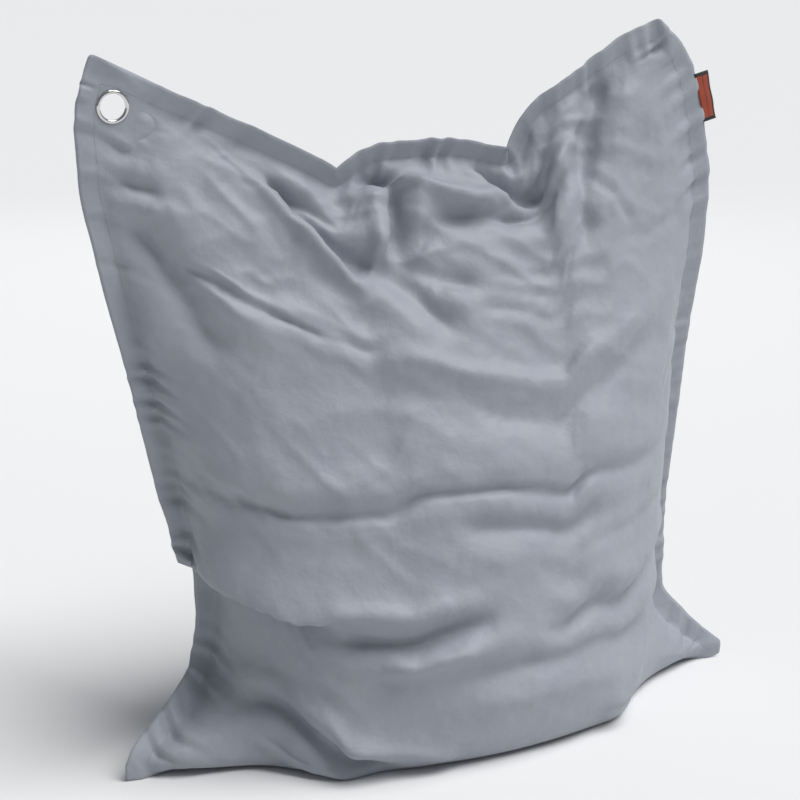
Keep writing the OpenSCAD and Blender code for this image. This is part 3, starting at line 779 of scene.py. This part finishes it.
def stitches(name, surface, side, node):
    path = seamPath(frontIds)
    run = np.r_[0, np.cumsum(np.linalg.norm(np.diff(path, axis=0), axis=1))]
    at = np.arange(sewing["pitch"] / 2, run[-1], sewing["pitch"])
    polygons = [p.vertices[:] for p in surface.data.polygons]
    tree = BVHTree.FromPolygons([v.co[:] for v in surface.data.vertices], polygons)
    pts, faces = capsule(sewing["length"], sewing["thick"] / 2)
    points, polys = [], []
    for k in at:
        a = np.array([np.interp(k - 0.001, run, path[:, c]) for c in range(3)])
        b = np.array([np.interp(k + 0.001, run, path[:, c]) for c in range(3)])
        mid, t = (a + b) / 2, (b - a) / np.linalg.norm(b - a)
        out = np.array([0, side, 0]) - t * (t[1] * side)
        out /= np.linalg.norm(out)
        hit = tree.ray_cast(Vector(mid + out * 0.03), Vector(-out), 0.06)
        if hit[0] is None:
            continue
        centre = np.array(hit[0]) + out * sewing["thick"] * 0.12
        across = np.cross(out, t)
        base = len(points) * len(pts)
        points.append(centre + pts[:, :1] * t + pts[:, 1:2] * out + pts[:, 2:] * across)
        polys += [tuple(i + base for i in f) for f in faces]
    obj = meshFrom(name, np.concatenate(points), polys)
    applied(obj)
    print(name, len(points), "stitches")
    return ride(obj, node)


stitchFront = stitches("seam_stitches_front", frontPanel, -1, "seam_thread_front")
stitchBack = stitches("seam_stitches_back", backPanel, 1, "seam_thread_back")


def labelPiece():
    # a strip folded in half: the fold stands out from the flange, the ends are sewn in
    rim, m = cover["rim"], cover["rows"]
    edge = draped[frontIds][:, -1]
    row = rim + label["v"] * m
    low, high = edge[int(row) - 3], edge[int(row) + 3]
    mid = mix(edge[int(row)], edge[int(row) + 1], row - int(row))
    t = (high - low) / np.linalg.norm(high - low)
    out = np.cross(t, np.array([0.0, 1.0, 0.0]))
    out *= np.sign(out[0]) / np.linalg.norm(out)
    along = (edge - mid) @ t
    near = np.abs(along) < label["long"]
    order = np.argsort(along[near])
    bm = bmesh.new()
    uvLayer = bm.loops.layers.uv.new("flat")
    half = [(-0.0022, 0.00025), (0.001, 0.0004), (0.006, 0.0007), (0.014, 0.0009), (0.020, 0.0009),
            (0.0216, 0.0006)]
    loop = half + [(0.022, 0)] + [(w, -y) for w, y in half[::-1]]
    grid = []
    cells = 24
    for j in range(cells + 1):
        a = (j / cells - 0.5) * label["long"]
        # the inner end follows the flange's edge, the fold is straight
        inner = np.array([np.interp(a, along[near][order], edge[near][order, c]) for c in range(3)])
        straight = mid + t * a
        row = []
        for w, y in loop:
            far = float(ease(max(w, 0) / 0.014))
            wave = 0.0010 * math.sin(j * 0.5) * far
            row.append(bm.verts.new(Vector(mix(inner, straight, far) + out * w) + Vector((0, y + wave, 0))))
        grid.append(row)
    for j in range(cells):
        for i in range(len(loop) - 1):
            f = bm.faces.new((grid[j][i], grid[j][i + 1], grid[j + 1][i + 1], grid[j + 1][i]))
            for corner, (jj, ii) in zip(f.loops, ((j, i), (j, i + 1), (j + 1, i + 1), (j + 1, i))):
                corner[uvLayer].uv = (jj / cells * label["long"] * 1000, loop[ii][0] * 1000)
    bm.normal_update()
    obj = bpy.data.objects.new("edge_label", bpy.data.meshes.new("edge_label"))
    bm.to_mesh(obj.data)
    bm.free()
    bpy.context.scene.collection.objects.link(obj)
    thick = obj.modifiers.new("thick", "SOLIDIFY")
    thick.thickness = label["thick"]
    thick.offset = -1
    applied(obj, "thick")
    return ride(obj, "woven_label")


labelStrip = labelPiece()


# zip: two tapes and two rows of coil, on an arc across the back
def zipPoint(angle, radius, z):
    return (radius * math.sin(angle), zipper["centreY"] + radius * math.cos(angle), z)


def tapePiece(name, k, node):
    bm = bmesh.new()
    cells = 120
    # from the teeth outwards: how far from the middle in mm, and the radius
    rows = [(0.7, 0.4898), (1.6, 0.4900), (2.4, 0.4898), (6, 0.4897), (11, 0.4897), (14.2, 0.4898),
            (14.7, 0.4897)]
    half = math.radians(zipper["half"] + 1.5)
    grid = []
    for i in range(cells + 1):
        angle = (i / cells * 2 - 1) * half
        grid.append([bm.verts.new(zipPoint(angle, r, zipper["z"] + k * d / 1000)) for d, r in rows])
    for i in range(cells):
        for j in range(len(rows) - 1):
            quad = (grid[i][j], grid[i][j + 1], grid[i + 1][j + 1], grid[i + 1][j])
            bm.faces.new(quad if k < 0 else quad[::-1])
    obj = bpy.data.objects.new(name, bpy.data.meshes.new(name))
    bm.to_mesh(obj.data)
    bm.free()
    bpy.context.scene.collection.objects.link(obj)
    thick = obj.modifiers.new("thick", "SOLIDIFY")
    thick.thickness = 0.0005
    thick.offset = -1
    applied(obj, "thick")
    return ride(obj, node)


def coilPiece(name, k, node):
    # one continuous wire wound into flattened loops
    half = math.radians(zipper["half"] - 0.6)
    pitch, wire, around, sides = 0.0016, 0.00034, 12, 6
    turns = int(2 * half * 0.4914 / pitch)
    t = np.arange(turns * around + 1) / around
    angle = -half + t / turns * 2 * half
    phase = t * 2 * math.pi
    radius = 0.4914 + 0.00088 * np.sin(phase)
    z = zipper["z"] + k * (0.0020 + 0.00092 * np.cos(phase))
    path = np.stack([radius * np.sin(angle), zipper["centreY"] + radius * np.cos(angle), z], 1)
    d = np.gradient(path, axis=0)
    d /= np.linalg.norm(d, axis=1, keepdims=True)
    along = np.stack([np.cos(angle), -np.sin(angle), 0 * angle], 1)
    a = np.cross(d, along)
    a /= np.linalg.norm(a, axis=1, keepdims=True)
    b = np.cross(d, a)
    turn = np.arange(sides) * 2 * math.pi / sides
    rings = [path + wire * (a * math.cos(q) + b * math.sin(q)) for q in turn]
    pts = np.stack(rings, 1).reshape(-1, 3)
    ids = np.arange(len(path) * sides).reshape(-1, sides)
    ids = np.concatenate([ids, ids[:, :1]], 1)
    ends = [range(sides), range(len(pts) - 1, len(pts) - 1 - sides, -1)]
    faces = [tuple(f) for f in quads(ids, True)] + [tuple(end) for end in ends]
    obj = meshFrom(name, pts, faces)
    applied(obj)
    return ride(obj, node)


tapes = [tapePiece("tape_upper", 1, "zip_tape_upper"), tapePiece("tape_lower", -1, "zip_tape_lower")]
coils = [coilPiece("coil_upper", 1, "zip_coil_upper"), coilPiece("coil_lower", -1, "zip_coil_lower")]
print("details done")

# materials
def node(tree, kind, inputs=(), stops=(), **settings):
    # inputs: (socket, a node, an output or a plain value); stops: (place, colour) of a colour ramp
    n = tree.nodes.new(kind)
    for key, value in settings.items():
        if key in n.inputs:
            n.inputs[key].default_value = value
        else:
            setattr(n, key, value)
    for socket, source in inputs:
        if isinstance(source, bpy.types.Node):
            source = source.outputs[0]
        if isinstance(source, bpy.types.NodeSocket):
            tree.links.new(source, n.inputs[socket])
        else:
            n.inputs[socket].default_value = source
    if stops:
        marks = n.color_ramp.elements
        for mark, (place, colour) in zip(marks, (stops[0], stops[-1])):
            mark.position, mark.color = place, linear(colour)
        for place, colour in stops[1:-1]:
            marks.new(place).color = linear(colour)
    return n


def newMaterial(name, colour, **settings):
    m = bpy.data.materials.new(name)
    m.use_nodes = True
    t = m.node_tree
    t.nodes.clear()
    shader = node(t, "ShaderNodeBsdfPrincipled")
    shader.inputs["Base Color"].default_value = linear(colour)
    for key, value in settings.items():
        shader.inputs[key.replace("_", " ")].default_value = value
    node(t, "ShaderNodeOutputMaterial", [("Surface", shader)])
    return m, t, shader


def weave(t, where, pitch):
    # plain weave: threads each way pass over and under by turns, pitch in metres
    split = node(t, "ShaderNodeSeparateXYZ", [("Vector", where)])
    ways = []
    for way in split.outputs[:2]:
        turn = node(t, "ShaderNodeMath", [(0, way), (1, math.pi / pitch)], operation="MULTIPLY")
        ways.append(node(t, "ShaderNodeMath", [(0, turn)], operation="SINE"))
    both = node(t, "ShaderNodeMath", list(enumerate(ways)), operation="MULTIPLY")
    return node(t, "ShaderNodeMath", [(0, both), (1, 1.0)], operation="ADD")


def relief(t, shader, layers):
    # each layer lies on the one before: height, strength, depth in metres
    last = None
    for height, strength, deep in layers:
        under = [("Normal", last)] if last else []
        last = node(t, "ShaderNodeBump", [("Height", height)] + under, Strength=strength, Distance=deep)
    t.links.new(last.outputs[0], shader.inputs["Normal"])


def coverMaterial():
    # polyester oxford, coated: 0.5 mm weave, paper-like creases, a soft satin sheen
    m, t, shader = newMaterial("coated_polyester", cover["colour"], Sheen_Weight=0.10, Sheen_Roughness=0.5,
                               Specular_IOR_Level=0.36)
    flat = node(t, "ShaderNodeUVMap").outputs[0]
    place = node(t, "ShaderNodeTexCoord").outputs["Object"]
    atPlace, atFlat = [("Vector", place)], [("Vector", flat)]
    folds = node(t, "ShaderNodeTexNoise", atPlace, Scale=15, Detail=5.0, Roughness=0.52, Distortion=0.15)
    crests = node(t, "ShaderNodeTexNoise", atPlace, Scale=24, Detail=3.0, Roughness=0.5,
                  noise_type="RIDGED_MULTIFRACTAL")
    small = node(t, "ShaderNodeTexNoise", atPlace, Scale=62, Detail=3.0, Roughness=0.5)
    threads = weave(t, flat, 0.0005)
    slubs = node(t, "ShaderNodeTexNoise", atFlat, Scale=900, Detail=2.0)
    relief(t, shader, [(crests, 0.34, 0.0030), (folds, 0.75, 0.006), (small, 0.60, 0.0016),
                       (slubs, 0.22, 0.0004), (threads, 0.25, 0.00012)])
    # a faint unevenness of colour, in patches and in the threads
    patch = node(t, "ShaderNodeTexNoise", atPlace, Scale=9, Detail=5.0, Roughness=0.65)
    grain = node(t, "ShaderNodeTexNoise", atFlat, Scale=650, Detail=2.0)
    most = node(t, "ShaderNodeMath", [(0, patch), (1, 0.7)], operation="MULTIPLY")
    rest = node(t, "ShaderNodeMath", [(0, grain), (1, 0.3)], operation="MULTIPLY")
    tone = node(t, "ShaderNodeMath", [(0, most), (1, rest)], operation="ADD")
    dye = node(t, "ShaderNodeValToRGB", [("Fac", tone)],
               [(0.36, cover["shade"]), (0.5, cover["colour"]), (0.64, cover["light"])])
    t.links.new(dye.outputs[0], shader.inputs["Base Color"])
    rough = node(t, "ShaderNodeMapRange", [("Value", patch), ("To Min", 0.46), ("To Max", 0.60)])
    t.links.new(rough.outputs[0], shader.inputs["Roughness"])
    return m


def beadMaterial():
    # expanded polystyrene beads, 3 to 5 mm
    m, t, shader = newMaterial("polystyrene_beads", "#F1F1EE", Roughness=0.6, Subsurface_Weight=0.15)
    place = node(t, "ShaderNodeTexCoord").outputs["Object"]
    cells = node(t, "ShaderNodeTexVoronoi", [("Vector", place)], Scale=240.0)
    crowns = node(t, "ShaderNodeMath", [(0, cells), (1, -1.0)], operation="MULTIPLY")
    relief(t, shader, [(crowns, 0.9, 0.002)])
    # painted shade: each bead is whiter at its raised crown and greyer towards its rim and the gaps between
    # beads
    tone = node(t, "ShaderNodeValToRGB", [("Fac", cells)], [(0.2, "#F6F6F3"), (0.75, "#CFCFCC")])
    t.links.new(tone.outputs[0], shader.inputs["Base Color"])
    return m


def metalMaterial(name, colour, rough):
    # nickel-plated brass or cast zinc, polished or tumbled, with faint handling marks
    m, t, shader = newMaterial(name, colour, Metallic=1.0)
    place = node(t, "ShaderNodeTexCoord").outputs["Object"]
    marks = node(t, "ShaderNodeTexNoise", [("Vector", place)], Scale=260, Detail=4.0, Roughness=0.7)
    turn = node(t, "ShaderNodeTexNoise", [("Vector", place)], Scale=1800, Detail=2.0)
    least, most = rough * 0.7, rough * 1.5
    level = node(t, "ShaderNodeMapRange", [("Value", marks), ("To Min", least), ("To Max", most)])
    t.links.new(level.outputs[0], shader.inputs["Roughness"])
    relief(t, shader, [(turn, 0.08, 0.0001)])
    return m


def threadMaterial(name, colour, pitch):
    # twisted polyester thread or woven tape, pitch in metres
    m, t, shader = newMaterial(name, colour, Roughness=0.62, Sheen_Weight=0.25)
    place = node(t, "ShaderNodeTexCoord").outputs["Object"]
    ply = node(t, "ShaderNodeTexNoise", [("Vector", place)], Scale=1 / pitch, Detail=2.0)
    relief(t, shader, [(ply, 0.5, pitch * 0.5)])
    # painted shade: the thread is darker in the hollows of its own ply relief
    dark = "#" + "".join(format(int(int(colour[i : i + 2], 16) * 0.8), "02X") for i in (1, 3, 5))
    tone = node(t, "ShaderNodeValToRGB", [("Fac", ply)], [(0.35, dark), (0.6, colour)])
    t.links.new(tone.outputs[0], shader.inputs["Base Color"])
    return m


def coilMaterial():
    # dyed nylon monofilament
    m, t, shader = newMaterial("nylon_coil", "#4C5058", Roughness=0.34)
    place = node(t, "ShaderNodeTexCoord").outputs["Object"]
    cloud = node(t, "ShaderNodeTexNoise", [("Vector", place)], Scale=300)
    tone = node(t, "ShaderNodeValToRGB", [("Fac", cloud)], [(0.3, "#41454C"), (0.7, "#585C65")])
    t.links.new(tone.outputs[0], shader.inputs["Base Color"])
    return m


def labelMaterial():
    # damask label: a rust field with one plain line; the ends and the strip along the fold are painted near
    # black as shade on the strip's edges, all in mm
    m, t, shader = newMaterial("damask_label", "#B4492C", Roughness=0.7, Sheen_Weight=0.2)
    where = node(t, "ShaderNodeUVMap").outputs[0]
    split = node(t, "ShaderNodeSeparateXYZ", [("Vector", where)])
    half = label["long"] * 500
    shadedEnd, lineAt, lineHalf, foldAt = 6, 10.0, 0.9, 18.6
    away = node(t, "ShaderNodeMath", [(0, split.outputs[0]), (1, half)], operation="SUBTRACT")
    away = node(t, "ShaderNodeMath", [(0, away)], operation="ABSOLUTE")
    # painted shade: the last millimetres at each end and the strip along the fold go near black, as the
    # strip's edges in shade
    ends = node(t, "ShaderNodeMath", [(0, away), (1, half - shadedEnd)], operation="GREATER_THAN")
    fold = node(t, "ShaderNodeMath", [(0, split.outputs[1]), (1, foldAt)], operation="GREATER_THAN")
    shadedEdges = node(t, "ShaderNodeMath", [(0, ends), (1, fold)], operation="MAXIMUM")
    near = node(t, "ShaderNodeMath", [(0, split.outputs[1]), (1, lineAt)], operation="SUBTRACT")
    near = node(t, "ShaderNodeMath", [(0, near)], operation="ABSOLUTE")
    line = node(t, "ShaderNodeMath", [(0, near), (1, lineHalf)], operation="LESS_THAN")
    line = node(t, "ShaderNodeMath", [(0, line), (1, 0.6)], operation="MULTIPLY")
    # dark where the edges are painted in shade, and along the printed line
    dark = node(t, "ShaderNodeMath", [(0, shadedEdges), (1, line)], operation="MAXIMUM")
    ribs = node(t, "ShaderNodeTexWave", [("Vector", where)], Scale=2.2).outputs[1]
    # painted shade: the rust is darker in the hollows of the ribs' own relief
    rustWithRibShade = node(t, "ShaderNodeValToRGB", [("Fac", ribs)], [(0.0, "#93381F"), (1.0, "#AF4A2D")])
    # the near black of both the painted edge shade and the printed line
    black = linear("#25232A")
    field = node(t, "ShaderNodeMix", [("Factor", dark), (6, rustWithRibShade), (7, black)], data_type="RGBA")
    t.links.new(field.outputs[2], shader.inputs["Base Color"])
    relief(t, shader, [(ribs, 0.3, 0.0002)])
    return m


coated = coverMaterial()
sewn = threadMaterial("polyester_thread", "#8E939C", 0.0004)
taped = threadMaterial("polyester_tape", "#5A5F68", 0.0006)
wound = coilMaterial()
finishes = [
    (frontPanel, coated), (backPanel, coated), (beadHeap, beadMaterial()),
    (ringPiece, metalMaterial("polished_nickel", "#D9D8D6", 0.12)),
    (washerPiece, metalMaterial("plain_nickel", "#C4C3C0", 0.28)),
    (stitchFront, sewn), (stitchBack, sewn), (labelStrip, labelMaterial()),
    (tapes[0], taped), (tapes[1], taped), (coils[0], wound), (coils[1], wound),
]
for obj, finish in finishes:
    obj.data.materials.append(finish)
castZinc = metalMaterial("cast_zinc", "#8F9196", 0.4)
for name in ("zip_slider", "zip_slider_bridge", "zip_stop_left", "zip_stop_right"):
    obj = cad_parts[name]
    obj.data.materials.clear()
    obj.data.materials.append(castZinc)
print("materials done")

# floor, light and camera
studio = {
    "floor": "#E8E8E8",
    "floorSize": 60,
    "sun": 3.05,
    "sunAngle": 42,
    "sunAim": (-1.2, 0.95, -2.9),
    "ambient": 0.21,
    "backdrop": 0.86,  # as bright as the floor's far edge
    "lens": 98.6,
    "eye": (-1.448, -3.201, 1.558),
    "aim": (-0.214, -0.384, 0.675),
}
bpy.ops.mesh.primitive_plane_add(size=studio["floorSize"], location=(0, 0, 0))
floor = bpy.context.object
floor.name = "floor"
floor.data.materials.append(newMaterial("pale_floor", studio["floor"], Roughness=0.9)[0])


def turnTo(direction):
    return Vector(direction).to_track_quat("-Z", "Y").to_euler()


def placed(name, data, place, aim):
    obj = bpy.data.objects.new(name, data)
    obj.location = place
    obj.rotation_euler = turnTo(Vector(aim) - Vector(place))
    bpy.context.scene.collection.objects.link(obj)
    return obj


def lamp(name, size, power, place, aim):
    data = bpy.data.lights.new(name, "AREA")
    data.size = size
    data.energy = power
    return placed(name, data, place, aim)


sun = bpy.data.lights.new("key", "SUN")
sun.energy = studio["sun"]
sun.angle = math.radians(studio["sunAngle"])
placed("key", sun, (0, 0, 0), studio["sunAim"])
lamp("fill", 2.0, 3, (2.2, -3.0, 1.2), (0, 0, 0.7))
lamp("back", 3.0, 12, (1.2, 3.6, 2.4), (0, 0, 0.6))

world = bpy.data.worlds.new("studio")
world.use_nodes = True
tree = world.node_tree
tree.nodes.clear()
ambient = node(tree, "ShaderNodeBackground", Color=(0.88, 0.93, 1.0, 1), Strength=studio["ambient"])
backdrop = node(tree, "ShaderNodeBackground", Color=(0.97, 0.985, 1, 1), Strength=studio["backdrop"])
direct = node(tree, "ShaderNodeLightPath").outputs["Is Camera Ray"]
seen = node(tree, "ShaderNodeMixShader", [(0, direct), (1, ambient), (2, backdrop)])
node(tree, "ShaderNodeOutputWorld", [("Surface", seen)])
bpy.context.scene.world = world
bpy.context.scene.view_settings.view_transform = "Standard"

camData = bpy.data.cameras.new("camera")
camData.lens = studio["lens"]
bpy.context.scene.camera = placed("camera", camData, studio["eye"], studio["aim"])
